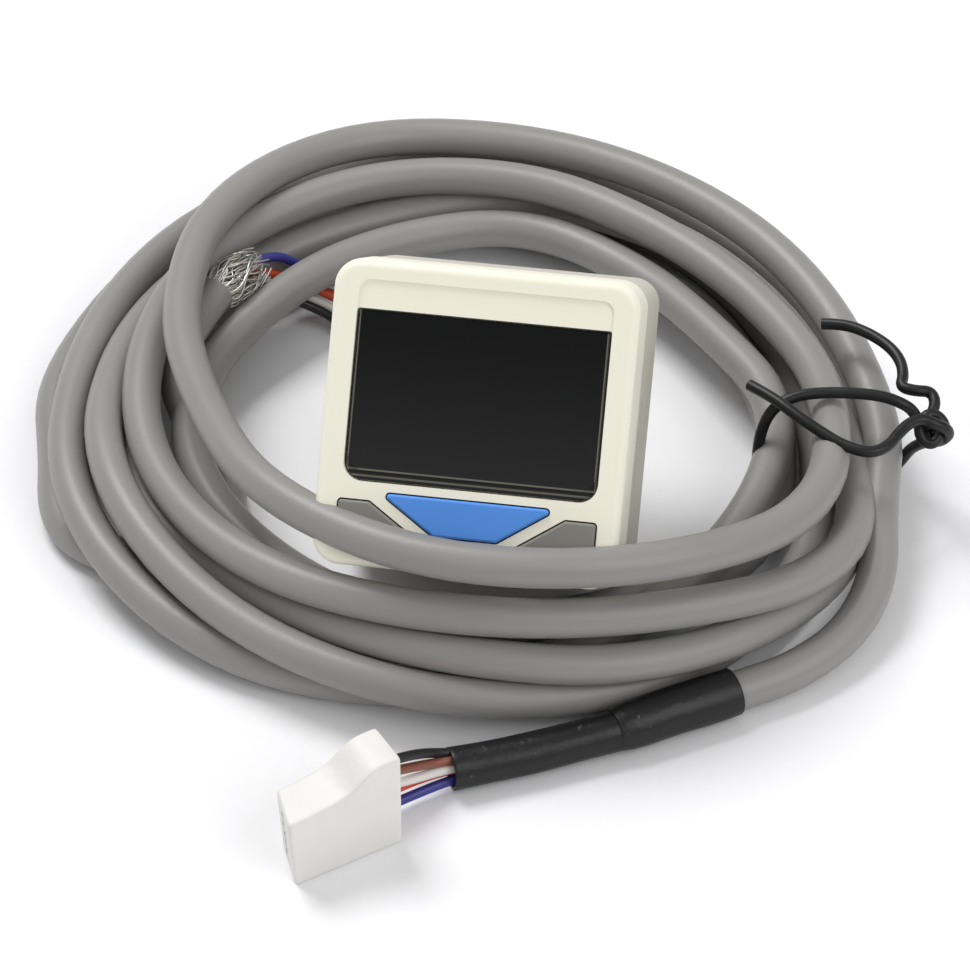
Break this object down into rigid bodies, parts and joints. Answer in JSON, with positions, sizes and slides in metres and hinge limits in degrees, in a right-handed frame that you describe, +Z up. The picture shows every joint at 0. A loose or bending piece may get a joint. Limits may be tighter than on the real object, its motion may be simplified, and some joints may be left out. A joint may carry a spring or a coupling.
{
  "type": "digital pressure switch",
  "caption": "Square panel-size electronic pressure switch with a tinted display window, three front buttons and a rear threaded port, lying in its tied coil of shielded lead.",
  "frame": {"origin": "middle of the switch's own footprint on the surface it rests on, with its lead left out of the box", "axes": "+Z up, +X to the right across the face, -Y the side that the leaned-back face looks to"},
  "size_m": [0.0934, 0.1104, 0.0383],
  "materials": {
    "cream_case": "fine matt moulded ABS, cream",
    "rear_case": "matt moulded plastic, grey beige",
    "window_tint": "near black tinted acrylic window",
    "display_glass": "liquid crystal glass",
    "light_guide": "clear moulded light guide",
    "pin_metal": "plated contact metal",
    "board_green": "solder-masked circuit board",
    "blue_key": "satin blue moulded button",
    "grey_key": "satin warm grey moulded button",
    "black_part": "black moulded plastic",
    "capacitor_can": "drawn aluminium can",
    "port_metal": "turned and nickel-plated fitting",
    "seal_rubber": "nitrile rubber",
    "insert_brass": "knurled brass insert",
    "header_white": "natural nylon header",
    "lead_jacket": "satin warm grey PVC jacket",
    "shrink_black": "black shrink tube",
    "plug_white": "white nylon plug",
    "core_blue": "dark blue wire insulation",
    "core_orange": "orange red wire insulation",
    "core_white": "off-white wire insulation",
    "core_brown": "brown wire insulation",
    "core_black": "black wire insulation",
    "braid_tin": "tinned copper braid",
    "tie_black": "black coated tie wire"
  },
  "bodies": {
    "case": {"board_capacitors": "capacitor_can", "board_header": "black_part", "bracket_inserts": "insert_brass", "cable_sleeve": "shrink_black", "connector_header": "header_white", "connector_pins": "pin_metal", "controller_chip": "black_part", "display_board": "board_green", "display_glass": "display_glass", "display_pins": "pin_metal", "display_window": "window_tint", "end_core_black": "core_black", "end_core_blue": "core_blue", "end_core_brown": "core_brown", "end_core_orange": "core_orange", "end_core_white": "core_white", "front_bezel": "cream_case", "lead_coil": "lead_jacket", "lead_tube": "lead_jacket", "light_guide": "light_guide", "main_board": "board_green", "plug_contacts": "pin_metal", "plug_core_black": "core_black", "plug_core_blue": "core_blue", "plug_core_brown": "core_brown", "plug_core_orange": "core_orange", "plug_core_white": "core_white", "plug_housing": "plug_white", "port_fitting": "port_metal", "rear_body": "rear_case", "sensor_capsule": "port_metal", "sensor_seal": "seal_rubber", "shield_braid": "braid_tin", "tact_switches": "black_part", "twist_tie": "tie_black", "wire_sleeve": "shrink_black"},
    "set_key": {"set_button": "blue_key", "set_plunger": "black_part"},
    "up_key": {"up_button": "grey_key", "up_plunger": "black_part"},
    "down_key": {"down_button": "grey_key", "down_plunger": "black_part"}
  },
  "joints": [
    {"name": "set_press", "type": "slide", "parent": "case", "child": "set_key", "axis": [0, 0.788, -0.6157], "range_m": [0, 0.0003], "stiffness_N_per_m": 1500, "springref_m": -0.0003},
    {"name": "up_press", "type": "slide", "parent": "case", "child": "up_key", "axis": [0, 0.788, -0.6157], "range_m": [0, 0.0003], "stiffness_N_per_m": 1500, "springref_m": -0.0003},
    {"name": "down_press", "type": "slide", "parent": "case", "child": "down_key", "axis": [0, 0.788, -0.6157], "range_m": [0, 0.0003], "stiffness_N_per_m": 1500, "springref_m": -0.0003}
  ]
}
